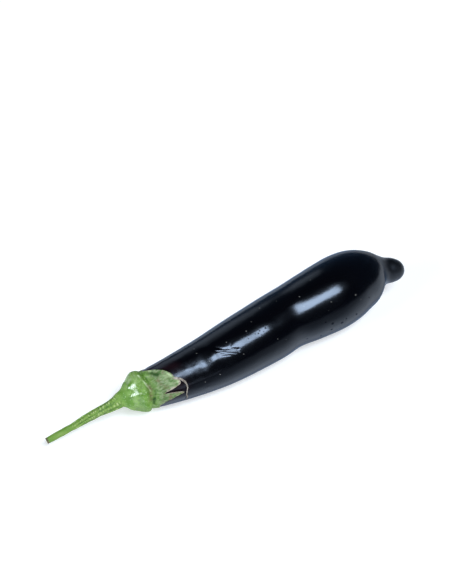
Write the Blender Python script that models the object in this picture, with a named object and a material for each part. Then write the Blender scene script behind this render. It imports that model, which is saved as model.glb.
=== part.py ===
# A long, slim eggplant as picked, lying on its side.
# The fruit lies along +X with its stem towards -X, and its underside rests on the plane z = 0.
# Sizes are in millimetres and angles in degrees until mesh_object turns them into metres.
# An angle round the fruit is 90 on top, 180 on its near side (-Y), 270 below and 0 on its far side (+Y).

import math

import bpy
from mathutils import Vector

MM = 0.001

# Middle of the whole object's box in the frame that the sizes below are written in
BOX_MIDDLE = Vector((-0.18, 1.08, 0.0))

# Gap between two pieces that touch
GAP = 0.32

# Longest steps along the fruit's line and the stem's, and how many steps a direction is measured over
FRUIT_LINE_STEP = 2.0
STEM_LINE_STEP = 1.0
DIRECTION_REACH = 3

# Fruit: the line through its middle, and its radius at positions along that line
FRUIT_SIDES = 44
FRUIT_STEP = 5.6
FRUIT_LINE = [(-92, 0, 16.6), (-60, -4.2, 18.2), (-25, -6.2, 20.6), (15, -3.2, 22.0), (42, -0.4, 22.8),
              (62, 0.6, 24.0), (82, 1.2, 25.4), (108, 4.4, 26.2), (130, 3.6, 25.2), (150, -2, 22)]
FRUIT_OUTLINE = [(-86.3, 0), (-85.7, 4.5), (-82, 9), (-76, 12.1), (-69, 14.1), (-60, 15.4), (-40, 17.9),
                 (-8, 21.2), (26, 22.9), (50, 23.7), (66, 24.9), (82, 26.0), (97, 25.6), (112, 22.6),
                 (123, 17.4), (129.5, 12.6), (134, 10.2), (140, 9.2), (145, 7.2), (148, 3.8), (148.8, 0)]

# Dents (or swellings, where the depth is negative): position, reach along, depth, angle
FRUIT_DENTS = [(44, 11, 1.3, 200), (120, 8, -1.0, 215)]

# Calyx: the swollen shoulder from the crown to the crease, as position along the line and radius
CALYX_SIDES = 84
CROWN_X = -88.8
CROWN_RADIUS = 6.6
CREASE_X = -74.8
SHOULDER = [(CROWN_X, 3.3), (CROWN_X, CROWN_RADIUS), (-87.9, 8.2), (-86.0, 10.3), (-83.5, 12.4),
            (-80.8, 14.1), (-78.3, 14.85), (-76.5, 14.9), (-75.4, 14.5), (CREASE_X, 14.0)]

# Soft swellings all round the shoulder: height, then each wave's number round, share of the height, phase
SHOULDER_SWELL = 0.22
SHOULDER_WAVES = [(8, 1.0, -63), (5, 0.6, -67), (3, 0.5, -90)]

# Single knobs and hollows of the shoulder: position, reach along, angle, reach round, height
SHOULDER_KNOBS = [(-84.6, 2.6, 99, 13, 0.5), (-85.6, 2.6, 134, 13, 0.6), (-84.5, 3, 117, 9, -0.4),
                  (-79, 3.4, 118, 34, -0.5), (-79.5, 3, 145, 9, 0.35), (-85, 3, 185, 20, 0.4)]
KNOB_START = 2.0

# The shoulder leans to one side: position, reach along, distance, angle
SHOULDER_LEAN = (-81.5, 3.6, 1.1, 47)

# Edge of the calyx's lobes, once round from this angle: angle and position along the line
LOBE_START = 76
LOBE_EDGE = [(76, -69.4), (86, -65.6), (98, -61.8), (112, -58.5), (128, -56.0), (138, -54.2),
             (145, -54.7), (149, -58.0), (153, -61.2), (155.5, -65.2), (158, -64.4), (159.5, -60.0),
             (162, -56.0), (166, -52.8), (170, -55.8), (176, -61.0), (184, -65.4), (194, -69.4),
             (206, -69.6), (220, -69.0), (234, -70.0), (246, -71.0), (256, -67.6), (268, -60.6),
             (280, -56.2), (291, -57.6), (304, -63.0), (317, -69.6), (328, -65.6), (340, -59.8),
             (352, -55.8), (361, -57.4), (371, -63.0), (381, -69.0), (393, -72.4), (410, -73.0),
             (424, -72.4)]
EDGE_STEP = 0.5
LOBE_MIDDLE = -62
LOBE_RINGS = 8

# Thickness of the lobes at the crease and at their edge, and where they are pressed thinner: angle,
# reach round, share that is lost
LOBE_THICKNESS = (1.0, 0.72)
PRESSED_SIDE = (212, 30, 0.5)

# The lobes' tips curl up from the skin past a position, over a reach, most on the side that the angle
# faces and by the least share on the other side
LOBE_LIFT = 1.1
LIFT_START = -66
LIFT_REACH = 12
LIFTED_SIDE = 150
LEAST_LIFT = 0.3

# Waves along the lobes' edge: height, and the number round of the two waves that make them
LOBE_WAVE = 0.3
WAVES_ROUND = (17, 6)

# Thin dry strand that has curled off the first lobe's edge: angle and position along the line
STRAND_PATH = [(122, -59.4), (127, -56.2), (133, -53.0), (141, -50.8), (150, -49.8), (160, -49.8),
               (169, -50.8), (179, -51.2), (191, -50.8), (203, -51.8)]
STRAND_RADIUS = 0.62
STRAND_CLEARANCE = 0.47
STRAND_SIDES = 6
STRAND_STEP = 4

# Stem: the line through its middle from the cut end, and its radius at positions along X
STEM_SIDES = 36
STEM_STEP = 2.6
STEM_LINE = [(-149.3, 0.85, 7.0), (-134, 0.4, 9.4), (-122, 0.6, 11.3), (-114.5, 0.6, 12.5),
             (-104, -0.25, 14.2), (-97, -0.5, 15.3)]
STEM_OUTLINE = [(-149.3, 2.15), (-145, 2.25), (-130, 2.4), (-127.5, 2.5), (-124, 2.65), (-114.5, 3.0),
                (-109, 3.15), (-104, 3.55), (-99, 4.0), (-95, 4.6), (-91.5, 5.6), (-89.1, 6.6)]
STEM_FOOT = 3.6

# Ribs along the stem: number, height, a furrow's angle and where it has it, and their turn in degrees per mm
STEM_RIBS = 6
RIB_HEIGHT = 0.26
FURROW_ANGLE = 132
FURROW_X = -111
RIB_TURN = 1.2

# The ribs rise from one position over a reach, and fade over a reach up to another
RIBS_START = (-131, 5)
RIBS_END = (-89, 7)

# Colour, roughness and metallic value of each piece
SKIN = ((0.008, 0.004, 0.012), 0.2, 0.0)
CALYX_GREEN = ((0.16, 0.33, 0.06), 0.42, 0.0)
STEM_GREEN = ((0.12, 0.26, 0.04), 0.5, 0.0)


# Curves and frames

def smooth_curve(points, longest_step, before=None, after=None):
    # Centripetal Catmull-Rom curve through the points, with steps no longer than longest_step
    points = [Vector(point) for point in points]
    before = before or 2 * points[0] - points[1]
    after = after or 2 * points[-1] - points[-2]
    padded = [before] + points + [after]
    curve = []
    for p0, p1, p2, p3 in zip(padded, padded[1:], padded[2:], padded[3:]):
        t1 = math.sqrt((p1 - p0).length)
        t2 = t1 + math.sqrt((p2 - p1).length)
        t3 = t2 + math.sqrt((p3 - p2).length)
        steps = max(2, math.ceil((p2 - p1).length / longest_step))
        for step in range(steps):
            t = t1 + (t2 - t1) * step / steps
            a1 = p0.lerp(p1, t / t1)
            a2 = p1.lerp(p2, (t - t1) / (t2 - t1))
            a3 = p2.lerp(p3, (t - t2) / (t3 - t2))
            b1 = a1.lerp(a2, t / t2)
            b2 = a2.lerp(a3, (t - t1) / (t3 - t1))
            curve.append(b1.lerp(b2, (t - t1) / (t2 - t1)))
    curve.append(points[-1])
    return curve


def value_at(curve, position):
    # Second coordinate of a flat curve where its first coordinate reaches the position
    for here, there in zip(curve, curve[1:]):
        if position <= there[0]:
            share = (position - here[0]) / max(there[0] - here[0], 1e-9)
            return here[1] + (there[1] - here[1]) * share
    return curve[-1][1]


def line_frame(line, x):
    # Centre, direction along, direction sideways and direction up, where the line reaches x
    last = len(line) - 1
    index = next((i for i in range(last) if x <= line[i + 1].x), last - 1)
    share = (x - line[index].x) / (line[index + 1].x - line[index].x)
    centre = line[index].lerp(line[index + 1], share)
    ahead, behind = line[min(index + 1 + DIRECTION_REACH, last)], line[max(index - DIRECTION_REACH, 0)]
    along = (ahead - behind).normalized()
    up = (Vector((0, 0, 1)) - along * along.z).normalized()
    return centre, along, up.cross(along), up


def ring_point(frame, angle, radius):
    centre, along, side, up = frame
    turn = math.radians(angle)
    return centre + side * (radius * math.cos(turn)) + up * (radius * math.sin(turn))


def bell(offset, reach):
    # 1 in the middle and falling to nothing beyond the reach
    return math.exp(-(offset / reach) ** 2)


def turn_gap(angle, towards):
    # Difference of two angles, from -180 to 180
    return (angle - towards + 180) % 360 - 180


def clamped(share):
    return min(1.0, max(0.0, share))


def facing(angle, towards):
    # 1 where the angle is the same, falling to 0 at a quarter turn and beyond
    return max(0.0, math.cos(math.radians(angle - towards)))


# Meshes

def mesh_object(name, rings, look, parent):
    # Skin over rings of points, each end closed by a fan to the middle of its last ring
    sides = len(rings[0])
    points = [point for ring in rings for point in ring]
    faces = []
    for ring in range(len(rings) - 1):
        for side in range(sides):
            after = (side + 1) % sides
            low, high = ring * sides, (ring + 1) * sides
            faces.append((low + side, low + after, high + after, high + side))
    for ring, flip in ((0, True), (len(rings) - 1, False)):
        middle = len(points)
        points.append(sum(rings[ring], Vector()) / sides)
        for side in range(sides):
            corner, after = ring * sides + side, ring * sides + (side + 1) % sides
            faces.append((middle, after, corner) if flip else (middle, corner, after))
    mesh = bpy.data.meshes.new(name)
    mesh.from_pydata([(point - BOX_MIDDLE) * MM for point in points], [], faces)
    mesh.shade_smooth()
    mesh.materials.append(material(name, *look))
    piece = bpy.data.objects.new(name, mesh)
    bpy.context.scene.collection.objects.link(piece)
    piece.parent = parent
    return piece


def material(name, colour, roughness, metallic):
    made = bpy.data.materials.new(name)
    made.use_nodes = True
    shader = made.node_tree.nodes["Principled BSDF"]
    shader.inputs["Base Color"].default_value = (*colour, 1)
    shader.inputs["Roughness"].default_value = roughness
    shader.inputs["Metallic"].default_value = metallic
    return made


# Fruit

def fruit_radius(x, angle, plain):
    # Radius of the skin: the plain outline less the dents
    dents = sum(depth * bell(x - place, reach) * facing(angle, towards)
                for place, reach, depth, towards in FRUIT_DENTS)
    return plain - dents


def fruit_rings(line, outline):
    rings = []
    for x, plain in outline[1:-1]:
        frame = line_frame(line, x)
        ring = []
        for side in range(FRUIT_SIDES):
            angle = 360 * side / FRUIT_SIDES
            point = ring_point(frame, angle, fruit_radius(x, angle, plain))
            point.z = max(point.z, 0.0)
            ring.append(point)
        rings.append(ring)
    return rings


# Calyx

def even_outline(points, number):
    # The closed edge of the lobes, as evenly spaced points of angle and position
    scale = math.radians(1) * value_at(FRUIT_OUTLINE, LOBE_MIDDLE)
    turn = Vector((360 * scale, 0))
    flat = [Vector((angle * scale, x)) for angle, x in points]
    curve = smooth_curve(flat + [flat[0] + turn], EDGE_STEP, flat[-1] - turn, flat[1] + turn)
    lengths = [0.0]
    for here, there in zip(curve, curve[1:]):
        lengths.append(lengths[-1] + (there - here).length)
    even = []
    index = 0
    for number_along in range(number):
        wanted = lengths[-1] * number_along / number
        while lengths[index + 1] < wanted:
            index += 1
        share = (wanted - lengths[index]) / (lengths[index + 1] - lengths[index])
        point = curve[index].lerp(curve[index + 1], share)
        even.append((point.x / scale, point.y))
    return even


def shoulder_bump(x, angle):
    # Swellings and knobs of the shoulder, fading out at the crown and the swellings also at the crease
    share = clamped((x - CROWN_X) / (CREASE_X - CROWN_X))
    waves = sum(part * math.cos(math.radians(number * angle + phase))
                for number, part, phase in SHOULDER_WAVES)
    bump = SHOULDER_SWELL * waves * math.sin(math.pi * share) ** 2
    started = clamped((x - CROWN_X) / KNOB_START)
    for place, reach, towards, spread, height in SHOULDER_KNOBS:
        bump += height * started * bell(x - place, reach) * bell(turn_gap(angle, towards), spread)
    return bump


def shoulder_ring(line, x, radius, angles):
    centre, along, side, up = line_frame(line, x)
    place, reach, distance, towards = SHOULDER_LEAN
    lean = distance * bell(x - place, reach)
    leaning = ring_point((centre, along, side, up), towards, lean)
    frame = (leaning, along, side, up)
    return [ring_point(frame, angle, radius + shoulder_bump(x, angle)) for angle in angles]


def lobe_offset(share, angle, x):
    # How far a lobe's inner face stands off the skin: it lies close, and its tip and edge curl up
    tip = clamped((x - LIFT_START) / LIFT_REACH)
    turn = math.radians(angle)
    wave = LOBE_WAVE * (1 + math.sin(WAVES_ROUND[0] * turn) * math.sin(WAVES_ROUND[1] * turn + 1))
    lifted = LEAST_LIFT + (1 - LEAST_LIFT) * facing(angle, LIFTED_SIDE)
    return GAP + share ** 3 * lifted * (LOBE_LIFT * tip + wave)


def lobe_thickness(share, angle):
    towards, spread, lost = PRESSED_SIDE
    plain = LOBE_THICKNESS[0] + (LOBE_THICKNESS[1] - LOBE_THICKNESS[0]) * share
    return plain * (1 - lost * bell(turn_gap(angle, towards), spread))


def calyx_rings(line, outline):
    angles = [LOBE_START + 360 * side / CALYX_SIDES for side in range(CALYX_SIDES)]
    edge = even_outline(LOBE_EDGE, CALYX_SIDES)
    outer = [shoulder_ring(line, x, radius, angles) for x, radius in SHOULDER]
    inner = []
    for ring in range(1, LOBE_RINGS + 1):
        share = ring / LOBE_RINGS
        low, high = [], []
        for angle, (edge_angle, edge_x) in zip(angles, edge):
            x = CREASE_X + (edge_x - CREASE_X) * share
            turned = angle + (edge_angle - angle) * share
            radius = value_at(outline, x) + lobe_offset(share, turned, x)
            frame = line_frame(line, x)
            low.append(ring_point(frame, turned, radius))
            high.append(ring_point(frame, turned, radius + lobe_thickness(share, turned)))
        outer.append(high)
        inner.append(low)
    cup = []
    for here, after in zip(outline, outline[1:]):
        middle = (here + after) / 2
        if middle.x > CREASE_X + 1:
            break
        slope = (after - here).normalized()
        x, radius = middle.x - slope.y * GAP, middle.y + slope.x * GAP
        frame = line_frame(line, x)
        cup.append([ring_point(frame, angle, radius) for angle in angles])
    return outer + inner[::-1] + cup[::-1]


def strand_rings(line, outline):
    flat = [Vector((angle, x, 0)) for angle, x in STRAND_PATH]
    path = []
    for angle, x, nothing in smooth_curve(flat, STRAND_STEP):
        radius = value_at(outline, x) + STRAND_RADIUS + STRAND_CLEARANCE
        path.append(ring_point(line_frame(line, x), angle, radius))
    return tube_rings(path, line, STRAND_RADIUS, STRAND_SIDES)


def tube_rings(path, line, radius, sides):
    rings = []
    for index, point in enumerate(path):
        along = (path[min(index + 1, len(path) - 1)] - path[max(index - 1, 0)]).normalized()
        out = point - line_frame(line, point.x)[0]
        out = (out - along * out.dot(along)).normalized()
        across = along.cross(out)
        turns = [math.tau * side / sides for side in range(sides)]
        rings.append([point + (out * math.cos(turn) + across * math.sin(turn)) * radius for turn in turns])
    return rings


def fuse(piece, addition):
    joint = piece.modifiers.new("fuse", "BOOLEAN")
    joint.operation = "UNION"
    joint.object = addition
    graph = bpy.context.evaluated_depsgraph_get()
    fused = bpy.data.meshes.new_from_object(piece.evaluated_get(graph))
    piece.modifiers.remove(joint)
    piece.data = fused
    bpy.data.objects.remove(addition)


# Stem

def stem_line(fruit_line):
    # The stem's own line, led straight into the middle of the crown
    centre, along = line_frame(fruit_line, CROWN_X)[:2]
    foot = centre - along * GAP
    return smooth_curve(STEM_LINE + [foot - along * STEM_FOOT, foot], STEM_LINE_STEP)


def stem_rings(line, outline):
    rings = []
    for x, plain in outline:
        frame = line_frame(line, min(x, line[-1].x))
        ribbed = clamped((x - RIBS_START[0]) / RIBS_START[1]) * clamped((RIBS_END[0] - x) / RIBS_END[1])
        ring = []
        for side in range(STEM_SIDES):
            angle = 360 * side / STEM_SIDES
            turn = angle - FURROW_ANGLE + RIB_TURN * (x - FURROW_X)
            rib = -math.cos(math.radians(STEM_RIBS * turn))
            ring.append(ring_point(frame, angle, plain + RIB_HEIGHT * ribbed * rib))
        rings.append(ring)
    return rings


def build():
    for old in list(bpy.data.objects):
        bpy.data.objects.remove(old)
    eggplant = bpy.data.objects.new("eggplant", None)
    bpy.context.scene.collection.objects.link(eggplant)

    line = smooth_curve(FRUIT_LINE, FRUIT_LINE_STEP)
    outline = smooth_curve([(x, radius, 0) for x, radius in FRUIT_OUTLINE], FRUIT_STEP)
    outline = [Vector((x, max(radius, 0.0))) for x, radius, nothing in outline]
    mesh_object("fruit", fruit_rings(line, outline), SKIN, eggplant)

    calyx = mesh_object("calyx", calyx_rings(line, outline), CALYX_GREEN, eggplant)
    strand = mesh_object("strand", strand_rings(line, outline), CALYX_GREEN, eggplant)
    fuse(calyx, strand)

    stem_outline = smooth_curve([(x, radius, 0) for x, radius in STEM_OUTLINE], STEM_STEP)
    stem_outline = [(x, radius) for x, radius, nothing in stem_outline]
    mesh_object("stem", stem_rings(stem_line(line), stem_outline), STEM_GREEN, eggplant)


build()
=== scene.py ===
# A long, slim eggplant as picked, lying on its side: fruit, calyx with one dry strand, and cut stem
# Sizes in the dictionaries are in millimetres and angles in degrees, unless a note says otherwise
# An angle round the fruit is 90 on top, 180 on the near side (-Y), 270 below and 0 on the far side (+Y)

import math

import bpy
import numpy as np
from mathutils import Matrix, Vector, noise


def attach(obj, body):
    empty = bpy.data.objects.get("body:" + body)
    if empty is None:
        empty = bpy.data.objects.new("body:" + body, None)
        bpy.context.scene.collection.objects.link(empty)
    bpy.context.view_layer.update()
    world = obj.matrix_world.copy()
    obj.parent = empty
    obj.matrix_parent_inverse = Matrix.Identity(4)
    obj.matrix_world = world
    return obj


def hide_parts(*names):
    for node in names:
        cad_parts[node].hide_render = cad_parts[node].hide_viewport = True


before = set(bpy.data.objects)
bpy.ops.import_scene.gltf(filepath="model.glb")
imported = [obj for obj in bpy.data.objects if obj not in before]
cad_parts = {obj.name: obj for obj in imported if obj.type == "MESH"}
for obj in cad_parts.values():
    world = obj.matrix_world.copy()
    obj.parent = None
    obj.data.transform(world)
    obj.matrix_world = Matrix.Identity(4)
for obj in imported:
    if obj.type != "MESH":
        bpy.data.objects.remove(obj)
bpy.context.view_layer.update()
print("frame loaded")

mm = 0.001
boxMiddle = np.array((-0.18, 1.08, 0.0))  # middle of the object's box in the outlines' own frame

fruitForm = {
    "line": [(-92, 0, 16.6), (-60, -4.2, 18.2), (-25, -6.2, 20.6), (15, -3.2, 22.0), (42, -0.4, 22.8),
             (62, 0.6, 24.0), (82, 1.2, 25.4), (108, 4.4, 26.2), (130, 3.6, 25.2), (150, -2, 22)],
    "outline": [(-86.3, 0), (-85.7, 4.5), (-82, 9), (-76, 12.1), (-69, 14.1), (-60, 15.4), (-40, 17.9),
                (-8, 21.2), (26, 22.9), (50, 23.7), (66, 24.9), (82, 26.0), (97, 25.6), (112, 22.6),
                (123, 17.4), (129.5, 12.6), (134, 10.2), (140, 9.2), (145, 7.2), (148, 3.8), (148.8, 0)],
    "dents": [(44, 11, 1.3, 200), (120, 8, -1.0, 215)],  # position, reach along, depth, angle
    "stations": 430, "sides": 216,
    "closer": (-6, 32, 0.9),  # rings stand closer at the wrinkles: position, reach, and by what share
    "crowded": (125, 26),  # each ring's points crowd towards this angle, by up to so many degrees
}

# Curves


def smoothCurve(points, step):  # centripetal Catmull-Rom curve through the points
    points = np.array(points, float)
    padded = np.vstack([2 * points[0] - points[1], points, 2 * points[-1] - points[-2]])
    curve = []
    for p0, p1, p2, p3 in zip(padded, padded[1:], padded[2:], padded[3:]):
        t1 = np.linalg.norm(p1 - p0) ** 0.5
        t2 = t1 + np.linalg.norm(p2 - p1) ** 0.5
        t3 = t2 + np.linalg.norm(p3 - p2) ** 0.5
        count = max(2, math.ceil(np.linalg.norm(p2 - p1) / step))
        t = np.linspace(t1, t2, count, endpoint=False)[:, None]
        a1 = p0 + (p1 - p0) * t / t1
        a2 = p1 + (p2 - p1) * (t - t1) / (t2 - t1)
        a3 = p2 + (p3 - p2) * (t - t2) / (t3 - t2)
        b1 = a1 + (a2 - a1) * t / t2
        b2 = a2 + (a3 - a2) * (t - t1) / (t3 - t1)
        curve.append(b1 + (b2 - b1) * (t - t1) / (t2 - t1))
    curve.append(points[-1:])
    return np.vstack(curve)


def evenly(curve, count, weight=1.0):  # the curve as so many points, closer together where the weight is high
    gaps = np.linalg.norm(np.diff(curve, axis=0), axis=1) * weight
    length = np.concatenate([[0], np.cumsum(gaps)])
    wanted = np.linspace(0, length[-1], count)
    return np.stack([np.interp(wanted, length, curve[:, axis]) for axis in range(curve.shape[1])], 1)


def lineFrame(line, x):  # centre, direction along, sideways and up, where the line reaches each x
    behind, ahead = 3, 4  # points that a direction is taken over, so that it turns smoothly
    last = len(line) - 1
    along = np.vstack([line[min(i + ahead, last)] - line[max(i - behind, 0)] for i in range(last + 1)])
    x = np.asarray(x, float)
    centre = np.stack([np.interp(x, line[:, 0], line[:, axis]) for axis in range(3)], -1)
    centre[..., 0] = x
    along = np.stack([np.interp(x, line[:, 0], along[:, axis]) for axis in range(3)], -1)
    along /= np.linalg.norm(along, axis=-1, keepdims=True)
    up = np.array((0, 0, 1.0)) - along * along[..., 2:]
    up /= np.linalg.norm(up, axis=-1, keepdims=True)
    return centre, along, np.cross(up, along), up


def onRing(ring, angle, radius):  # points at these angles and distances round the centre of a lineFrame
    centre, along, side, up = ring
    turn = np.radians(angle)[..., None]
    radius = np.asarray(radius)[..., None]
    return centre + side * (radius * np.cos(turn)) + up * (radius * np.sin(turn))


def bell(value, middle, reach):  # 1 at the middle, and soft to 0 past the reach
    return np.exp(-((value - middle) / reach) ** 2)


def turnGap(angle, towards):  # difference of two angles, from -180 to 180
    return (angle - towards + 180) % 360 - 180


def smoothStep(value, low, high):  # soft from 0 at low to 1 at high
    share = np.clip((value - low) / (high - low), 0, 1)
    return share * share * (3 - 2 * share)


def noiseAt(points, grain, seed=0.0):  # soft noise from about -1 to 1, with grains of this size
    flat = points.reshape(-1, 3) / grain + seed
    gain = 1.6
    return np.array([noise.noise(Vector(p)) for p in flat]).reshape(points.shape[:-1]) * gain


def drawn(x, angle, layout, strokes):  # soft lines and dots, drawn on the skin laid flat
    middle, girth = layout  # the angle in the middle of the drawing, and the radius that it is laid flat from
    across = np.radians(turnGap(angle, middle)) * girth
    field = np.zeros(x.shape)
    for path, width, height in strokes:
        flat = np.array([(math.radians(turnGap(a, middle)) * girth, place) for a, place in path])
        nearest = np.full(x.shape, np.inf)
        for start, stop in zip(flat, flat[1:] if len(flat) > 1 else flat):
            step = stop - start
            length = max(step @ step, 0.0001)  # squared, and not 0 for a dot
            share = ((across - start[0]) * step[0] + (x - start[1]) * step[1]) / length
            share = np.clip(share, 0, 1)
            gap = np.hypot(across - start[0] - share * step[0], x - start[1] - share * step[1])
            nearest = np.minimum(nearest, gap)
        field += height * bell(nearest, 0, width)
    return field


fruitLine = smoothCurve(fruitForm["line"], 2.0)
fruitOutline = smoothCurve(fruitForm["outline"], 0.5)
fruitOutline[:, 1] = np.maximum(fruitOutline[:, 1], 0)


def skinRadius(x):  # of the fruit, without dents and relief
    return np.interp(x, fruitOutline[:, 0], fruitOutline[:, 1])


# Meshes


def wrapGrid(name, points, values=None):  # a grid wrapped round into a closed skin through rings of points
    rings, sides = points.shape[:2]
    bpy.ops.object.select_all(action="DESELECT")
    bpy.ops.mesh.primitive_grid_add(x_subdivisions=rings - 1, y_subdivisions=sides, size=1)
    piece = bpy.context.object
    piece.name = piece.data.name = name
    closed = np.concatenate([points, points[:, :1]], 1).transpose(1, 0, 2)
    piece.data.vertices.foreach_set("co", ((closed - boxMiddle) * mm).ravel())
    for label, value in (values or {}).items():
        attribute = piece.data.attributes.new(label, "FLOAT", "POINT")
        attribute.data.foreach_set("value", np.concatenate([value, value[:, :1]], 1).T.ravel())
    bpy.ops.object.mode_set(mode="EDIT")
    bpy.ops.mesh.select_all(action="SELECT")
    bpy.ops.mesh.remove_doubles(threshold=0.000002)  # joins the seam, and each end to one point
    bpy.ops.mesh.normals_make_consistent(inside=False)
    bpy.ops.object.mode_set(mode="OBJECT")
    bpy.ops.object.shade_smooth()
    return piece


def closeEnds(points):  # the first and last ring shrink into their own middles
    first = np.repeat(points[:1].mean(1, keepdims=True), points.shape[1], 1)
    last = np.repeat(points[-1:].mean(1, keepdims=True), points.shape[1], 1)
    return np.concatenate([first, points, last])


def endValues(values):  # each value also for the two rings that closeEnds adds
    return {label: np.concatenate([value[:1], value, value[-1:]]) for label, value in values.items()}


# Fruit

skinRelief = {
    "started": (-88, -80),  # the unevenness starts between these positions, under the calyx
    "swells": (0.1, 26.0),  # height and grain of the skin's slow unevenness
    "mottle": (0.018, 3.0, 1.6),  # height, grain, and how much stronger it is beside the calyx
    "bloomed": (-36, -28),  # wax bloom dulls the skin from the calyx to between these positions
    "bloom": (121, 40, 2.6),  # angle, reach and grain of its blotches
    "rolls": [(-34.4, 3.2, 121, 24, -0.5), (-26.4, 3.2, 121, 24, 0.5), (17, 7, 121, 22, 0.34),
              (44, 12, 121, 22, -0.55)],  # position, reach, angle, reach, height
    "wrinkleLayout": (122, 20.5), "pitLayout": (130, 24), "speckLayout": (130, 21),
    "wrinkles": [([(108, -21.5), (117, -18.4), (121, -15.6), (126, -12.2), (131, -9.5)], 0.9, -0.24),
                 ([(114, -23.5), (118, -21), (122, -17.8), (128, -13.6), (136, -9.2)], 0.45, -0.12),
                 ([(122, -21), (126, -18.4), (130, -15.2), (136, -12.2)], 0.42, -0.12),
                 ([(128, -21), (131, -18.6), (134, -16.2)], 0.42, -0.09),
                 ([(112, -10.4), (119, -13.5), (119, -15.7)], 0.5, -0.06)],  # path, width, height
    "knobWrinkles": (132.5, 3.4, 0.04, 9),  # position, reach along, height, number round
    "pits": [(122, 15.4, 0.65), (121, 10.6, 0.46), (124, 8.8, 0.52), (122, 6.6, 0.44), (123, 0.4, 0.4),
             (113, 1.9, 0.42), (129, 10.4, 0.36), (126, 12.8, 0.34), (119, 4.2, 0.34), (182, 85.9, 1.0),
             (184, 75, 1.2), (190, 66.8, 1.1), (176, 67.5, 1.3), (179, 78, 0.8), (167, 62, 0.8),
             (166, 99, 0.8), (196, 58, 0.9), (188, 46, 0.8)],  # angle, position, reach
    "specks": [(126, -30.2, 0.3), (97, -34.7, 0.24), (83, -34.3, 0.2), (108, -14, 0.26), (109, 2.3, 0.3),
               (144, -7.6, 0.22), (161, -26.9, 0.26), (165, -37.5, 0.24), (98, 9.9, 0.2), (81, 22.5, 0.24),
               (150, 20, 0.2), (104, 52, 0.24), (138, 71, 0.2), (147, 88, 0.34)],
}


def dots(places):  # as strokes of one point
    return [([(angle, place)], reach, 1.0) for angle, place, reach in places]


def fruitSurface():
    place, reach, extra = fruitForm["closer"]
    weight = 1 + extra * bell(fruitOutline[1:, 0], place, reach)
    outline = evenly(fruitOutline, fruitForm["stations"], weight)[1:-1]
    base = np.linspace(0, 360, fruitForm["sides"], endpoint=False)
    towards, crowding = fruitForm["crowded"]
    angle = (base - crowding * np.sin(np.radians(base - towards)))[None, :]
    x, angle = np.broadcast_arrays(outline[:, :1], angle)
    radius = np.repeat(outline[:, 1:], fruitForm["sides"], 1)
    for place, reach, depth, towards in fruitForm["dents"]:
        radius = radius - depth * bell(x, place, reach) * np.maximum(0, np.cos(np.radians(angle - towards)))
    place, reach, height, number = skinRelief["knobWrinkles"]
    twist = 0.12 * x
    radius = radius + height * bell(x, place, reach) * np.cos(np.radians(angle) * number + twist)
    for place, reach, towards, spread, height in skinRelief["rolls"]:
        radius = radius + height * bell(x, place, reach) * bell(turnGap(angle, towards), 0, spread)
    ring = lineFrame(fruitLine, x)
    plain = onRing(ring, angle, radius)
    started = smoothStep(x, *skinRelief["started"])
    besideCalyx = 1 - smoothStep(x, *skinRelief["bloomed"])
    height, grain = skinRelief["swells"]
    radius = radius + height * noiseAt(plain * np.array((0.6, 1, 1)), grain, 3.3) * started
    height, grain, stronger = skinRelief["mottle"]
    mottle = noiseAt(plain * np.array((0.5, 1, 1)), grain, 7.1)
    radius = radius + height * mottle * started * (1 + stronger * besideCalyx)
    radius = radius + drawn(x, angle, skinRelief["wrinkleLayout"], skinRelief["wrinkles"])
    points = onRing(ring, angle, radius)
    points[..., 2] = np.maximum(points[..., 2], 0)  # pressed flat where it rests on the table
    pits = np.minimum(drawn(x, angle, skinRelief["pitLayout"], dots(skinRelief["pits"])), 1)
    specks = np.minimum(drawn(x, angle, skinRelief["speckLayout"], dots(skinRelief["specks"])), 1)
    towards, spread, grain = skinRelief["bloom"]
    blotches = 0.75 + 0.5 * noiseAt(plain, grain, 12.0)
    bloom = besideCalyx * bell(turnGap(angle, towards), 0, spread) * blotches
    return points, {"pit": pits, "speck": specks, "bloom": np.clip(bloom, 0, 1)}


def makeFruit():
    points, values = fruitSurface()
    return wrapGrid("fruitSkin", closeEnds(points), endValues(values))


# Calyx

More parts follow.
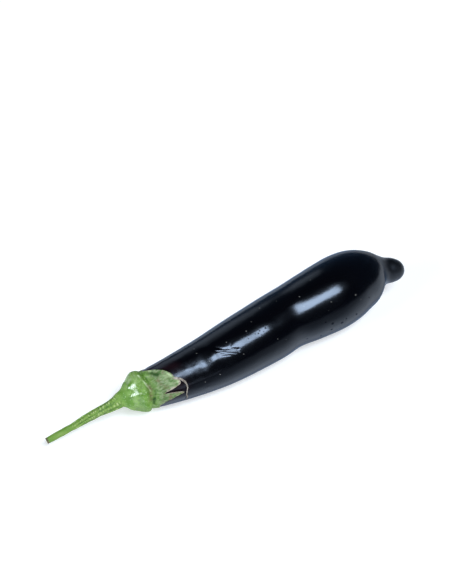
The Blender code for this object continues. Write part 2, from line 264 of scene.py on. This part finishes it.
calyxForm = {
    "sides": 420, "shoulderRings": 90, "lobeRings": 90, "cupRings": 14,
    "crown": -88.8, "crease": -74.8, "lobeMiddle": -62, "firstAngle": 76,
    "shoulder": [(-88.8, 3.3), (-88.8, 6.6), (-87.9, 8.2), (-86.0, 10.3), (-83.5, 12.4), (-80.8, 14.1),
                 (-78.3, 14.85), (-76.5, 14.9), (-75.4, 14.5), (-74.8, 14.0)],
    "lean": (-81.5, 3.6, 1.1, 47),  # position, reach along, distance, angle
    "knees": [(-87.2, 2.6, 95, 12, 0.65), (-89.2, 3.0, 139, 12, 1.35), (-86, 3, 115, 9, -0.5),
              (-79, 3.4, 118, 34, -0.3), (-80, 2.2, 141, 7, 0.3),
              (-85, 3, 185, 20, 0.4)],  # position, reach, angle, reach, height
    "swell": 0.22, "rise": 2,  # height of the shoulder's soft waves, and the reach over which knees rise
    "edge": [(76, -69.4), (86, -65.6), (98, -61.2), (112, -57.7), (128, -55.2), (138, -53.3),
             (144, -53.7), (148.5, -57.2), (153, -61.2), (155.5, -65.2), (158, -64.4), (159.5, -60.0),
             (162, -56.0), (166, -52.8), (170, -55.8), (176, -61.0), (184, -65.4), (194, -69.4),
             (206, -69.6), (220, -69.0), (234, -70.0), (246, -71.0), (256, -67.6), (268, -60.6),
             (280, -56.2), (291, -57.6), (304, -63.0), (317, -69.6), (328, -65.6), (340, -59.8),
             (352, -55.8), (361, -57.4), (371, -63.0), (381, -69.0), (393, -72.4), (410, -73.0),
             (424, -72.4)],  # angle and position of the lobes' edge, once round
    "gap": 0.15, "thickness": (1.0, 0.5),  # clearance from the skin, and thickness at the crease and the edge
    "leastThickness": 0.28, "pressed": (212, 30, 0.7),  # angle, reach, and share by which it is thinner below
    "lift": 1.1, "tips": (-66, 12), "wave": 0.3,  # lift of the tips past a position, over a reach
    "liftedSide": 150, "leastLift": 0.3,
    "crinkle": (0.09, 1.5),  # height and grain
    "shoulderLayout": (150, 14.5), "foldLayout": (150, 15), "veinLayout": (150, 16),
    "folds": [([(96, -77.1), (105, -76.1), (115, -75.5), (123, -74.6), (131, -73.8), (138, -73.5)],
               0.42, 0.3),
              ([(92, -73.4), (105, -73.0), (117, -72.5), (127, -71.6)], 1.1, -0.45),
              ([(127, -71.6), (139, -71.0), (152, -71.4), (165, -72.2), (176, -73.2)], 1.5, -0.75),
              ([(150, -75.6), (162, -75.8), (172, -76.6)], 1.6, -0.5),
              ([(84, -69.3), (90, -68.0), (98, -66.6), (105, -64.6)], 1.3, -0.7),
              ([(78, -69.6), (84, -66.6), (94, -63.4)], 0.8, 0.35),
              ([(118, -68.0), (135, -66.5), (150, -67.0), (163, -68.6)], 2.4, 0.45),
              ([(187, -73.2)], 1.2, 0.5), ([(196, -73.8), (206, -72.6)], 1.3, -0.3)],  # path, width, height
    "veins": [([(112, -69), (117, -64), (122, -60), (127, -57.4)], 0.5, -0.16),
              ([(124, -70), (130, -64.5), (135, -60), (139, -56.6)], 0.5, -0.16),
              ([(133, -69.5), (138, -64.5), (142, -60), (144, -57)], 0.45, -0.14),
              ([(144, -69), (147, -65), (150, -62)], 0.5, -0.14),
              ([(104, -67), (110, -62.5), (116, -59.6)], 0.45, -0.12),
              ([(165, -69), (165, -65), (166, -60), (168, -56)], 0.4, -0.12)],
}

calyxMarks = {  # strokes of colour: path, width, strength
    # deep: painted shade, darkening the crease's valley, the hollows beside it and the shoulder's underside
    "deep": [([(127, -71.4), (139, -70.8), (152, -71.2), (165, -72.2)], 1.0, 0.5),
             ([(91, -68.2), (98, -67.0), (103, -65.2)], 1.4, 1.0),
             ([(164, -72.7), (172, -72.9), (180, -73.3)], 1.1, 0.9),
             ([(112, -77.6), (122, -78.7)], 1.6, 0.25),
             ([(95, -73.6), (106, -73.0), (118, -72.4)], 0.6, 0.35),
             ([(198, -84), (212, -80), (225, -77)], 5.0, 0.3)],
    # pale: paler veins, margins and tip, and painted highlights along the ridge and the lobe's upper edge, on
    # the shoulder's top, and as two glints
    "paleAndHighlight": [([(84, -77.5), (99, -76.7), (109, -75.5), (123, -74.7), (131, -73.8), (138, -73.5)], 0.6, 0.9),
             ([(78, -69.2), (84, -66.4), (92, -63.6)], 0.6, 0.6),
             ([(125, -67.4), (135, -62.2), (139, -58.4)], 0.9, 0.3),
             ([(116, -66), (120, -63.4), (128, -58.8)], 0.7, 0.3), ([(187, -73.2)], 0.9, 0.8),
             ([(139, -55.0), (143, -55.8)], 1.1, 0.8), ([(139, -80.5)], 0.6, 0.6),
             ([(84, -82), (98, -81.4)], 2.6, 0.4),
             ([(106, -64.0), (116, -60.5), (125, -57.6)], 1.2, 0.35), ([(92, -72.2), (98, -71.2)], 1.4, 0.3),
             ([(79, -68.9), (83, -67.5), (88, -65.9)], 0.7, 1.2), ([(110, -59.3), (122, -57.2)], 0.6, 0.5)],
    "stain": [([(122, -73.8), (134, -73.2), (147, -73.8), (163, -75.0)], 1.5, 0.9),
              ([(118, -67.6), (122, -66.6)], 1.2, 0.6), ([(139, -64.6), (143, -63.2)], 1.1, 0.7),
              ([(168, -62.6), (172, -61.8)], 0.9, 0.8), ([(162, -57), (166, -54)], 1.6, 0.8),
              ([(112, -60.6), (123, -58.3), (130, -56.9)], 0.35, 0.6),
              ([(146, -57.4), (149, -60)], 0.4, 0.7)],
    "dull": (-75, -66),  # the green turns dull between these positions
    "matt": (-80.5, -78.5, 215, 34),  # the gloss ends between two positions, and round this angle and reach
    "drying": (0.93, 1.0),  # share of the way to the lobes' edge where husk starts and is full
}


def lobeEdge():  # angle and position of the lobes' edge at even steps, once round
    scale = math.radians(1) * skinRadius(calyxForm["lobeMiddle"])
    flat = np.array(calyxForm["edge"], float) * (scale, 1)
    turn = np.array((360 * scale, 0))
    edge = smoothCurve(np.vstack([flat[-2:] - turn, flat, flat[:3] + turn]), 0.2)
    start = np.argmin(np.linalg.norm(edge - flat[0], axis=1))
    stop = np.argmin(np.linalg.norm(edge - flat[0] - turn, axis=1))
    even = evenly(edge[start:stop + 1], calyxForm["sides"] + 1)[:-1]
    return even[:, 0] / scale, even[:, 1]


def shoulderBump(x, angle):
    crown = calyxForm["crown"]
    share = np.clip((x - crown) / (calyxForm["crease"] - crown), 0, 1)
    turn = np.radians(angle)
    waves = np.cos(8 * turn - 1.1) + 0.6 * np.sin(5 * turn + 0.4) + 0.5 * np.sin(3 * turn)
    bump = calyxForm["swell"] * waves * np.sin(np.pi * share) ** 2
    for place, reach, towards, spread, height in calyxForm["knees"]:
        near = bell(x, place, reach) * bell(turnGap(angle, towards), 0, spread)
        bump = bump + height * near * smoothStep(x, crown, crown + calyxForm["rise"])
    return bump


def calyxColours(x, angle, share, surface):  # masks that the calyx's material reads
    marks = {label: drawn(x, angle, calyxForm["foldLayout"], calyxMarks[label])
             for label in ("deep", "paleAndHighlight", "stain")}
    grain = noiseAt(surface, 1.7, 5.0)
    patchy = 0.6 + noiseAt(surface, 4.0, 9.0)
    low, high, towards, spread = calyxMarks["matt"]
    nearSide = bell(turnGap(angle, 160), 0, 28)
    lowerMargin = bell(turnGap(angle, 150), 0, 6)
    upperMargin = bell(turnGap(angle, 100), 0, 20)
    drying = share + 0.07 * grain + 0.05 * nearSide * patchy + 0.1 * lowerMargin - 0.05 * upperMargin
    return {
        "lobe": smoothStep(x, *calyxMarks["dull"]),
        "matt": np.maximum(smoothStep(x + 0.8 * grain, low, high), bell(turnGap(angle, towards), 0, spread)),
        "dry": smoothStep(drying, *calyxMarks["drying"]),
        # deep is painted shade in the valley, the hollows and underneath, with a little random darker tone
        # from the grain
        "deep": np.clip(marks["deep"] + 0.2 * grain, 0, 1),
        # paler tissue, and painted highlights on the ridge, the lobe's upper edge, the shoulder's top and two
        # glints
        "paleAndHighlight": np.clip(marks["paleAndHighlight"] * patchy, 0, 1),
        "stain": np.clip(marks["stain"] * (0.75 + 0.5 * grain), 0, 1),
    }


def makeCalyx():
    sides = calyxForm["sides"]
    crease = calyxForm["crease"]
    angles = calyxForm["firstAngle"] + np.arange(sides) * 360 / sides

    # The swollen shoulder, from the crown to the crease
    shoulder = evenly(smoothCurve(calyxForm["shoulder"], 0.2), calyxForm["shoulderRings"])
    x, angle = np.broadcast_arrays(shoulder[:, :1], angles[None, :])
    centre, along, side, up = lineFrame(fruitLine, x)
    place, reach, distance, towards = calyxForm["lean"]
    lean = distance * bell(x, place, reach)
    leaning = onRing((centre, along, side, up), np.full(x.shape, float(towards)), lean)
    folds = drawn(x, angle, calyxForm["shoulderLayout"], calyxForm["folds"])
    top = onRing((leaning, along, side, up), angle, shoulder[:, 1:] + shoulderBump(x, angle) + folds)

    # The lobes, from the crease to their edge, with an inner face that lies close to the skin
    edgeAngle, edgeX = lobeEdge()
    share = np.linspace(0, 1, calyxForm["lobeRings"] + 1)[1:, None]
    lobeX = crease + (edgeX[None, :] - crease) * share
    lobeAngle = angles[None, :] + (edgeAngle[None, :] - angles[None, :]) * share
    skin = skinRadius(lobeX)
    start, reach = calyxForm["tips"]
    tip = np.clip((lobeX - start) / reach, 0, 1)
    least = calyxForm["leastLift"]
    lifted = least + (1 - least) * np.maximum(0, np.cos(np.radians(lobeAngle - calyxForm["liftedSide"])))
    turn = np.radians(lobeAngle)
    wave = calyxForm["wave"] * (1 + np.sin(17 * turn) * np.sin(6 * turn + 1))
    offset = calyxForm["gap"] + share ** 3 * lifted * (calyxForm["lift"] * tip + wave)
    towards, reach, lost = calyxForm["pressed"]
    thinner = 1 - lost * bell(turnGap(lobeAngle, towards), 0, reach)
    atCrease, atEdge = calyxForm["thickness"]
    thick = (atCrease + (atEdge - atCrease) * share) * thinner
    ring = lineFrame(fruitLine, lobeX)
    low = onRing(ring, lobeAngle, skin + offset)
    lobeFolds = drawn(lobeX, lobeAngle, calyxForm["foldLayout"], calyxForm["folds"])
    veins = drawn(lobeX, lobeAngle, calyxForm["veinLayout"], calyxForm["veins"])
    plain = onRing(ring, lobeAngle, skin + offset + thick)
    height, grain = calyxForm["crinkle"]
    crinkle = height * noiseAt(plain * np.array((0.55, 1, 1)), grain, 2.0) * smoothStep(share, 0.15, 0.7)
    thick = np.maximum(thick + lobeFolds + veins + crinkle, calyxForm["leastThickness"])
    high = onRing(ring, lobeAngle, skin + offset + thick)

    # The inner face, with every third ring, and the cup's inner wall just inside the fruit
    inner = low[::-1][::3]
    cup = evenly(fruitOutline[fruitOutline[:, 0] < crease + 1], calyxForm["cupRings"] + 2)[1:-1][::-1]
    cupRing = lineFrame(fruitLine, np.broadcast_to(cup[:, :1], (len(cup), sides)) - 0.3)
    cupAngle = np.broadcast_to(angles, (len(cup), sides))
    inside = onRing(cupRing, cupAngle, np.repeat(cup[:, 1:] + 0.2, sides, 1))
    shell = closeEnds(np.concatenate([top, high, inner, inside]))

    allShare = np.concatenate([np.zeros(x.shape), np.broadcast_to(share, lobeX.shape)])
    values = calyxColours(np.concatenate([x, lobeX]), np.concatenate([angle, lobeAngle]), allShare,
                          np.concatenate([top, high]))
    hidden = len(inner) + len(inside)
    values = {label: np.concatenate([value, np.repeat(value[-1:], hidden, 0)])
              for label, value in values.items()}
    return wrapGrid("calyxCup", shell, endValues(values))


# Strand

strandForm = {
    "path": [(127.5, -56.6, 1.9), (131, -54.6, 1.9), (136, -52.4, 1.5), (143, -50.7, 1.1), (151, -49.8, 0.9),
             (160, -49.8, 0.9), (169, -50.6, 0.9), (179, -51.2, 0.7), (191, -50.8, 0.6),
             (203, -51.8, 0.5)],  # angle, position and height over the skin
    "widths": [(0, 0.7), (0.12, 0.8), (0.25, 0.6), (0.5, 0.45), (0.7, 0.5), (0.85, 0.38),
               (1, 0.2)],  # share of the length, and half of the width there
    "flatness": 0.42, "sides": 18, "stations": 160,
    "beads": 0.12,  # share by which it swells and thins
    "crinkle": (0.09, 0.9),  # height and grain
}


def tube(path, radii, sides, flatness):  # rings round a path, flat towards the fruit's line
    along = np.gradient(path, axis=0)
    along /= np.linalg.norm(along, axis=1, keepdims=True)
    out = path - lineFrame(fruitLine, path[:, 0])[0]
    out -= along * (out * along).sum(1, keepdims=True)
    out /= np.linalg.norm(out, axis=1, keepdims=True)
    across = np.cross(along, out)
    turn = np.linspace(0, 2 * np.pi, sides, endpoint=False)[None, :, None]
    radii = np.asarray(radii)[:, None, None]
    return path[:, None] + radii * (out[:, None] * np.cos(turn) * flatness + across[:, None] * np.sin(turn))


def makeStrand():
    count = strandForm["stations"]
    flat = evenly(smoothCurve(strandForm["path"], 0.4), count)
    path = onRing(lineFrame(fruitLine, flat[:, 1]), flat[:, 0], skinRadius(flat[:, 1]) + flat[:, 2])
    shares = np.linspace(0, 1, count)
    beads = 1 + strandForm["beads"] * np.sin(shares * 41) * np.sin(shares * 17 + 1)
    radii = np.interp(shares, *zip(*strandForm["widths"])) * beads
    rings = tube(path, radii, strandForm["sides"], strandForm["flatness"])
    height, grain = strandForm["crinkle"]
    rings = rings + height * noiseAt(rings, grain, 4.0)[..., None] * np.array((0.3, -0.6, 0.7))
    return wrapGrid("dryStrand", closeEnds(rings))


# Stem

stemForm = {
    "line": [(-149.3, 0.85, 7.0), (-134, 0.4, 9.4), (-122, 0.6, 11.3), (-114.5, 0.6, 12.5),
             (-104, -0.25, 14.2), (-97, -0.5, 15.3)],
    "outline": [(-149.3, 2.15), (-145, 2.25), (-130, 2.4), (-127.5, 2.5), (-124, 2.65), (-114.5, 3.0),
                (-109, 3.15), (-104, 3.55), (-99, 4.0), (-95, 4.6), (-92.4, 5.3), (-90.7, 6.2), (-89.4, 7.3),
                (-88.4, 8.5), (-87.3, 9.6), (-86.1, 10.4), (-85.3, 10.8)],
    "stations": 330, "sides": 150,
    "ribs": 6, "ribHeight": 0.26,
    "furrow": (132, -111, 1.2),  # a furrow's angle, where it has it, and its turn per mm
    "ribsStart": (-134, -124), "ribsEnd": (-89.5, -97),  # no ribs at the first position, full at the second
    "knots": (2.3, 0.12),  # spacing along a rib, and depth of the notches between them
    "uneven": (0.18, 1.4),  # height and grain
    "heel": (-93.0, 3.2, 222, 34, 0.9),  # position, reach, angle, reach, height
    "foot": (-98, -90),  # it takes on the calyx's green between these positions
    "cut": [(0.9, 0.35, 0.25), (0.6, 0.3, 0.3), (0.3, 0.12, 0.6), (0.16, -0.02, 1),
            (0.06, -0.03, 1)],  # rings of the cut face: share of the way in, depth and browning
    "browned": 1.5,  # reach of the brown past the cut
}


def makeStem():
    centre, along = [part[0] for part in lineFrame(fruitLine, [calyxForm["crown"]])[:2]]
    line = smoothCurve(stemForm["line"] + [tuple(centre + along * step) for step in (-4, 0, 5)], 1.0)
    outline = evenly(smoothCurve(stemForm["outline"], 0.5), stemForm["stations"])
    x = np.repeat(outline[:, :1], stemForm["sides"], 1)
    angle = np.broadcast_to(np.linspace(0, 360, stemForm["sides"], endpoint=False), x.shape)
    turn = np.radians(angle)
    towards, place, turning = stemForm["furrow"]
    phase = np.radians(stemForm["ribs"] * (angle - towards + turning * (x - place)))
    ribbed = smoothStep(x, *stemForm["ribsStart"]) * smoothStep(x, *stemForm["ribsEnd"])
    rib = -np.cos(phase)
    number = np.round((phase - np.pi) / (2 * np.pi))  # each rib's own number sets where its knots sit
    spacing, notch = stemForm["knots"]
    grain = noiseAt(np.stack([x * 0.8, number * 5.0, angle * 0.02], -1), 2.2, 1.0)
    wander = noiseAt(np.stack([x, angle * 0.05, number * 3.0], -1), 1.1, 6.0)
    beat = np.cos(2 * np.pi * (x / spacing + 0.37 * number) + 4.2 * grain)
    present = 0.35 + 0.65 * smoothStep(grain + 0.5 * wander, -0.35, 0.25)
    knots = smoothStep(rib + 0.9 * wander, -0.3, 1.0) * smoothStep(beat + 0.8 * wander, 0.1, 1.0) * present
    radius = outline[:, 1:] + ribbed * (stemForm["ribHeight"] * rib + notch * (knots - 0.4))
    height, size = stemForm["uneven"]
    radius = radius + height * noiseAt(np.stack([x * 0.3, np.cos(turn) * 3, np.sin(turn) * 3], -1), size)
    place, reach, towards, spread, height = stemForm["heel"]
    radius = radius + height * bell(x, place, reach) * bell(turnGap(angle, towards), 0, spread)
    points = onRing(lineFrame(line, x), angle, radius)
    inwards = points[:1].mean(1, keepdims=True) - points[:1]
    rim = [points[:1] + inwards * share + np.array((deep, 0, 0)) for share, deep, brown in stemForm["cut"]]
    cut = np.zeros((len(rim) + len(x), x.shape[1]))
    cut[:len(rim)] = np.array([brown for share, deep, brown in stemForm["cut"]])[:, None]
    cut[len(rim):] = bell(x, stemForm["outline"][0][0], stemForm["browned"])
    pad = ((len(rim), 0), (0, 0))
    # painted shade: darker in the rib furrows and in the notches between knots
    furrowShade = smoothStep(-rib, 0.3, 1) * smoothStep(wander, -0.4, 0.3)
    furrowShade = furrowShade + 0.8 * smoothStep(-beat + 0.9 * wander, 0.6, 1.3)
    values = {"cut": cut, "knotGlint": np.pad(knots * ribbed, pad),
              "furrow": np.pad(ribbed * np.clip(furrowShade, 0, 1), pad),
              "foot": np.pad(smoothStep(x, *stemForm["foot"]), pad)}
    return wrapGrid("cutStem", closeEnds(np.concatenate(rim + [points])), endValues(values))


# Materials: the lengths in them are in metres where a node reads them, and a grain's size is in mm


def tone(hexValue):  # sRGB hex to linear
    parts = [int(hexValue[i:i + 2], 16) / 255 for i in (1, 3, 5)]
    return (*[p / 12.92 if p <= 0.04045 else ((p + 0.055) / 1.055) ** 2.4 for p in parts], 1)


def perGrain(size):  # a texture's scale for grains of this many mm
    return 1 / (size * mm)


def addNode(material, kind, settings=None, links=None):  # a setting is a property or an input's value
    node = material.node_tree.nodes.new(kind)
    for key, value in (settings or {}).items():
        if isinstance(key, str) and hasattr(node, key):
            setattr(node, key, value)
        else:
            node.inputs[key].default_value = value
    for key, source in (links or {}).items():
        material.node_tree.links.new(source, node.inputs[key])
    return node


def newMaterial(name, settings):
    material = bpy.data.materials.new(name)
    material.use_nodes = True
    shader = material.node_tree.nodes["Principled BSDF"]
    for key, value in settings.items():
        shader.inputs[key].default_value = value
    return material, shader


def objectPoint(material):
    return addNode(material, "ShaderNodeTexCoord").outputs["Object"]


def noiseOf(material, source, grain, detail=2.0):
    settings = {"Scale": perGrain(grain), "Detail": detail}
    return addNode(material, "ShaderNodeTexNoise", settings, {"Vector": source}).outputs["Fac"]


def stretched(material, source, scale):
    return addNode(material, "ShaderNodeMapping", {"Scale": scale}, {"Vector": source}).outputs["Vector"]


def ramp(material, source, low, high, start=0.0, end=1.0):  # soft from start at low to end at high
    settings = {"interpolation_type": "SMOOTHSTEP", "From Min": low, "From Max": high,
                "To Min": start, "To Max": end}
    return addNode(material, "ShaderNodeMapRange", settings, {"Value": source}).outputs["Result"]


def traced(material, source, stops):  # a value that follows these stops, each a position and a value
    node = addNode(material, "ShaderNodeFloatCurve", None, {"Value": source})
    points = node.mapping.curves[0].points
    for index, stop in enumerate(stops):
        point = points[index] if index < 2 else points.new(*stop)
        point.location = stop
        point.handle_type = "VECTOR"
    node.mapping.update()
    return node.outputs["Value"]


def sums(material, operation, first, second):  # the second is a number or another node's output
    settings = {"operation": operation}
    links = {0: first}
    if isinstance(second, (int, float)):
        settings[1] = second
    else:
        links[1] = second
    return addNode(material, "ShaderNodeMath", settings, links).outputs["Value"]


def blended(material, factor, first, second):  # colours are hex values or another node's output
    node = addNode(material, "ShaderNodeMix", {"data_type": "RGBA"}, {0: factor})
    for index, colour in ((6, first), (7, second)):
        if isinstance(colour, str):
            node.inputs[index].default_value = tone(colour)
        else:
            material.node_tree.links.new(colour, node.inputs[index])
    return node.outputs[2]


def readValue(material, label):
    return addNode(material, "ShaderNodeAttribute", {"attribute_name": label}).outputs["Fac"]


def dottedWith(material, source, cell, reach):  # 1 in sparse round dots of this reach
    node = addNode(material, "ShaderNodeTexVoronoi", {"Scale": perGrain(cell)}, {"Vector": source})
    return ramp(material, node.outputs["Distance"], reach / cell, 0.6 * reach / cell)


def bumped(material, shader, height, depth, strength=1.0):
    settings = {"Strength": strength, "Distance": depth * mm}
    node = addNode(material, "ShaderNodeBump", settings, {"Height": height})
    material.node_tree.links.new(node.outputs["Normal"], shader.inputs["Normal"])


def waxySkin():  # eggplant skin: nearly black, with a tight waxy gloss that mirrors lights with a cool edge
    material, shader = newMaterial("waxySkin", {
        "Specular Tint": tone("#d6e7ff"), "IOR": 1.53,
        "Sheen Weight": 0.21, "Sheen Roughness": 0.39, "Sheen Tint": tone("#57a3ea")})
    link = material.node_tree.links.new
    where = objectPoint(material)
    cloud = noiseOf(material, where, 22)
    grain = noiseOf(material, stretched(material, where, (0.4, 1, 1)), 1.1, 3)
    pit = sums(material, "MAXIMUM", readValue(material, "pit"), dottedWith(material, where, 5.2, 0.24))
    speck = sums(material, "MAXIMUM", readValue(material, "speck"), dottedWith(material, where, 8.4, 0.2))
    axis = addNode(material, "ShaderNodeSeparateXYZ", None, {"Vector": where}).outputs["X"]
    calyxEnd = (-0.046, -0.06)  # a little purple shows beside the calyx
    neck = (0.124, 0.134)  # the blunt end's neck and knob are duller

    purple = sums(material, "MULTIPLY", ramp(material, axis, *calyxEnd), ramp(material, cloud, 0.35, 0.7))
    skin = blended(material, cloud, "#020203", "#050406")
    skin = blended(material, purple, skin, "#28161b")
    skin = blended(material, speck, skin, "#8a8984")
    link(skin, shader.inputs["Base Color"])

    # The wax mirrors most head-on, is dull at a slant, and shines again before it dulls at the very edge
    facing = addNode(material, "ShaderNodeLayerWeight", {"Blend": 0.5}).outputs["Facing"]
    gloss = traced(material, facing, [
        (0, 0.56), (1, 0), (0.085, 0.56), (0.14, 0.06), (0.26, 0.12), (0.4, 0.33),
        (0.52, 0.37), (0.6, 0.24), (0.67, 0.06), (0.78, 0.01)])
    gloss = sums(material, "MAXIMUM", gloss, ramp(material, axis, *neck, 0, 0.4))
    gloss = sums(material, "MULTIPLY", gloss, ramp(material, pit, 0.2, 0.8, 1.0, 0.12))
    link(gloss, shader.inputs["Specular IOR Level"])

    rough = ramp(material, cloud, 0.3, 0.7, 0.17, 0.21)
    rough = sums(material, "ADD", rough, sums(material, "MULTIPLY", readValue(material, "bloom"), 0.1))
    rough = sums(material, "ADD", rough, ramp(material, axis, 0.122, 0.13, 0, 0.24))
    link(sums(material, "ADD", rough, sums(material, "MULTIPLY", pit, 0.3)), shader.inputs["Roughness"])
    bumped(material, shader, grain, 0.008)
    return material


def freshGreen(material, where):  # the green that the stem's foot and the shoulder share
    cloud = ramp(material, noiseOf(material, where, 5.5), 0.3, 0.7)
    fresh = blended(material, cloud, "#56802a", "#7a9e4b")
    return blended(material, ramp(material, noiseOf(material, where, 0.9), 0.56, 0.75), fresh, "#9dba7c")


def calyxLeaf():  # fleshy sepals: glossy yellow-green shoulder, dull grey-green lobes, edges of pale husk, with painted shade in the crease and underneath and painted highlights on the ridge and shoulder
    material, shader = newMaterial("calyxLeaf", {
        "IOR": 1.6, "Subsurface Weight": 0.12, "Subsurface Scale": 0.0012,
        "Subsurface Radius": (0.5, 1.0, 0.2)})
    link = material.node_tree.links.new
    where = objectPoint(material)
    streak = noiseOf(material, stretched(material, where, (0.35, 1, 1)), 1.3, 3)
    fine = noiseOf(material, where, 0.9, 2)
    lobe = readValue(material, "lobe")
    fresh = freshGreen(material, where)
    dull = blended(material, ramp(material, streak, 0.35, 0.68), "#50713a", "#899871")
    patches = ramp(material, noiseOf(material, where, 3.2, 3), 0.5, 0.72, 0, 0.7)
    dull = blended(material, patches, dull, "#7c7455")
    flecks = ramp(material, noiseOf(material, where, 1.8), 0.56, 0.72, 0, 0.6)
    dull = blended(material, flecks, dull, "#8fa377")
    colour = blended(material, lobe, fresh, dull)
    # paler veins and tip, and painted highlights on the ridge, the lobe's upper edge, the shoulder's top and
    # two glints
    colour = blended(material, readValue(material, "paleAndHighlight"), colour, "#c2d6a4")
    stain = sums(material, "MULTIPLY", readValue(material, "stain"), ramp(material, fine, 0.3, 0.6, 0.5, 1))
    colour = blended(material, stain, colour, "#75654b")
    # painted shade: the deep green darkens the crease's valley, the hollows and the underside
    colour = blended(material, readValue(material, "deep"), colour, "#2b4d1c")
    husk = blended(material, ramp(material, streak, 0.35, 0.65), "#7b7260", "#aea893")
    colour = blended(material, readValue(material, "dry"), colour, husk)
    link(colour, shader.inputs["Base Color"])
    matt = readValue(material, "matt")
    link(ramp(material, matt, 0, 1, 0.23, 0.6), shader.inputs["Roughness"])
    broken = ramp(material, noiseOf(material, where, 0.8), 0.42, 0.58, 0.35, 1.1)  # pores break the gloss up
    gloss = sums(material, "MULTIPLY", broken, ramp(material, matt, 0, 1, 0.9, 0.26))
    link(gloss, shader.inputs["Specular IOR Level"])
    bumped(material, shader, sums(material, "ADD", fine, streak), 0.12, 0.8)
    return material


def dryHusk():  # torn edge of a sepal, dried to a papery pinkish brown, with painted shade darkening its lower part towards the free end
    material, shader = newMaterial("dryHusk", {"Roughness": 0.75})
    where = objectPoint(material)
    fine = noiseOf(material, where, 1.1, 3)
    colour = blended(material, ramp(material, fine, 0.35, 0.65), "#6f645b", "#b8aea2")
    # painted shade: darker lower down, where the strand curls under the fruit
    height = addNode(material, "ShaderNodeSeparateXYZ", None, {"Vector": where}).outputs["Z"]
    colour = blended(material, ramp(material, height, 0.012, 0.03, 0.1, 1), "#5a534c", colour)
    material.node_tree.links.new(colour, shader.inputs["Base Color"])
    bumped(material, shader, fine, 0.15)
    return material


def stemRind():  # ribbed green rind with shade painted into its furrows, and pale knots along its ribs whose paleness is partly painted glints; browned where it was cut
    material, shader = newMaterial("stemRind", {
        "Roughness": 0.55, "Specular IOR Level": 0.3, "Subsurface Weight": 0.1, "Subsurface Scale": 0.001,
        "Subsurface Radius": (0.5, 1.0, 0.2)})
    where = objectPoint(material)
    cloud = ramp(material, noiseOf(material, stretched(material, where, (0.4, 1, 1)), 3.5), 0.3, 0.7)
    fine = noiseOf(material, stretched(material, where, (0.5, 1, 1)), 0.7, 2)
    colour = blended(material, cloud, "#668b35", "#819e4d")
    # painted shade in the furrows
    colour = blended(material, readValue(material, "furrow"), colour, "#44682a")
    # the knots turn pale, partly as painted glints on their bumps
    knotGlint = sums(material, "MULTIPLY", readValue(material, "knotGlint"), ramp(material, fine, 0.35, 0.6, 0.6, 1.0))
    colour = blended(material, knotGlint, colour, "#b4c586")
    colour = blended(material, readValue(material, "foot"), colour, freshGreen(material, where))
    cut = readValue(material, "cut")
    woody = blended(material, ramp(material, fine, 0.3, 0.7), "#3f382b", "#776a50")
    colour = blended(material, ramp(material, cut, 0.35, 0.9), colour, woody)
    material.node_tree.links.new(colour, shader.inputs["Base Color"])
    bumped(material, shader, fine, 0.08)
    return material


# Studio

studio = {
    "lens": 85.0, "azimuth": -32.0, "elevation": 43.0, "distance": 1.02,
    "target": (24.2, 50.0, 20.0),  # in mm, in the outlines' frame; the other lengths here are in metres
    "floorSize": 9.0, "floorGlow": 0.58,
    "lightColour": (0.84, 0.92, 1.0), "roomLight": 0.04,
}


def away(azimuth, elevation):  # direction from the object, where azimuth 0 is towards -Y
    a, e = math.radians(azimuth), math.radians(elevation)
    return Vector((math.sin(a) * math.cos(e), -math.cos(a) * math.cos(e), math.sin(e)))


def opalTable():  # white, and lit faintly from below, which keeps the shadows pale
    return newMaterial("opalTable", {
        "Base Color": tone("#cacaca"), "Roughness": 0.9,
        "Emission Color": (0.95, 0.97, 1, 1), "Emission Strength": studio["floorGlow"]})[0]


def makeFloor():
    bpy.ops.mesh.primitive_plane_add(size=studio["floorSize"])
    floor = bpy.context.object
    floor.name = "floor"
    floor.data.materials.append(opalTable())


def softbox(name, direction, distance, outline, size, power, spread=180):
    bpy.ops.object.light_add(type="AREA", location=direction.normalized() * distance)
    light = bpy.context.object
    light.name = name
    light.rotation_euler = direction.to_track_quat("Z", "Y").to_euler()
    light.data.shape = outline
    light.data.size, light.data.size_y = size
    light.data.energy = power
    light.data.spread = math.radians(spread)
    light.data.color = studio["lightColour"]


def makeStudio():
    makeFloor()
    target = Vector((np.array(studio["target"]) - boxMiddle) * mm)
    back = away(studio["azimuth"], studio["elevation"])
    bpy.ops.object.camera_add(location=target + back * studio["distance"])
    camera = bpy.context.object
    camera.rotation_euler = back.to_track_quat("Z", "Y").to_euler()
    camera.data.lens = studio["lens"]
    camera.data.sensor_width = 36
    bpy.context.scene.camera = camera
    # The key light makes the streak along the skin, and the left light reaches the stem's end
    softbox("keyLight", Vector((0.095, -0.525, 0.85)), 4.0, "RECTANGLE", (2.35, 1.5), 160)
    softbox("leftLight", Vector((-0.92, -0.04, 0.39)), 4.0, "RECTANGLE", (1.6, 1.6), 115)
    softbox("backLight", away(170, 36), 1.3, "ELLIPSE", (0.5, 1.0), 0.26, 80)
    world = bpy.data.worlds.new("room")
    world.use_nodes = True
    world.node_tree.nodes["Background"].inputs["Color"].default_value = (0.5, 0.5, 0.5, 1)
    world.node_tree.nodes["Background"].inputs["Strength"].default_value = studio["roomLight"]
    bpy.context.scene.world = world
    bpy.context.scene.view_settings.view_transform = "Standard"


def dress(piece, material, node):
    piece.data.materials.clear()
    piece.data.materials.append(material)
    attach(piece, "root")
    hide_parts(node)


makeStudio()
print("studio done")
dress(makeFruit(), waxySkin(), "fruit")
print("fruit done")
dress(makeCalyx(), calyxLeaf(), "calyx")
dress(makeStrand(), dryHusk(), "calyx")
print("calyx done")
dress(makeStem(), stemRind(), "stem")
print("stem done")
